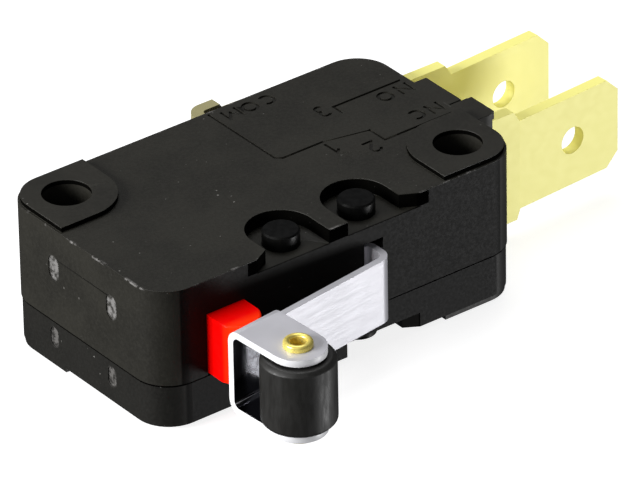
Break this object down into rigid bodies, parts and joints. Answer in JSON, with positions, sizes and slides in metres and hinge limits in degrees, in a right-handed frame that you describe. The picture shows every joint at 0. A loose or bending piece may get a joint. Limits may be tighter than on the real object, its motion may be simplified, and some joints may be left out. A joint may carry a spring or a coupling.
{
  "type": "lever micro switch",
  "caption": "Snap-action micro switch in a black two-piece body with a hinged steel lever, a small roller, a red plunger and flat push-on tabs.",
  "frame": {"origin": "on the seating plane of the bottom mounting pads, midway between the two mounting holes", "axes": "+X along the body towards the NC and NO tabs, -Y towards the lever and plunger, +Y towards the COM tab, +Z through the thickness, away from the seating plane"},
  "size_m": [0.0402, 0.0276, 0.0103],
  "materials": {
    "black_moulding": "fine matte moulding, dusty and lightly scuffed at the edges",
    "black_pin": "smooth satin",
    "red_moulding": "smooth satin",
    "spring_steel": "bright rolled strip with cut edges",
    "black_roller": "turned satin plastic",
    "rivet_brass": "bare brass, rolled over",
    "tab_brass": "pale bare brass, lightly dulled",
    "contact_silver": "plain silver alloy",
    "spring_bronze": "rolled spring bronze"
  },
  "bodies": {
    "housing": {"case": "black_moulding", "cover": "black_moulding", "pin_left": "black_pin", "pin_right": "black_pin", "terminal_com": "tab_brass", "terminal_nc": "tab_brass", "terminal_no": "tab_brass", "contact_nc": "contact_silver", "contact_no": "contact_silver", "blade": "spring_bronze", "snap_spring": "spring_bronze"},
    "lever": {"lever": "spring_steel", "roller_rivet": "rivet_brass"},
    "roller": {"roller": "black_roller"},
    "plunger": {"plunger": "red_moulding"},
    "moving_contact": {"contact_moving": "contact_silver"}
  },
  "joints": [
    {"name": "lever_hinge", "type": "hinge", "parent": "housing", "child": "lever", "pos_m": [0.0026, -0.0059, 0.00515], "axis": [0, 0, -1], "range_deg": [0, 8], "stiffness_Nm_per_rad": 0.05, "springref_deg": -4.58},
    {"name": "roller_spin", "type": "hinge", "parent": "lever", "child": "roller", "pos_m": [-0.00882, -0.01494, 0.00515], "axis": [0, 0, 1], "continuous": true},
    {"name": "plunger_slide", "type": "slide", "parent": "housing", "child": "plunger", "axis": [0, 1, 0], "range_m": [0, 0.00162], "deforming": ["blade"]},
    {"name": "contact_slide", "type": "slide", "parent": "housing", "child": "moving_contact", "axis": [0, 1, 0], "range_m": [0, 0.0009], "deforming": ["snap_spring"]}
  ],
  "couplings": [
    {"joint": "plunger_slide", "follows": "lever_hinge", "m_per_rad": 0.0116},
    {"joint": "contact_slide", "follows": "lever_hinge", "m_per_rad": 0.0064}
  ]
}
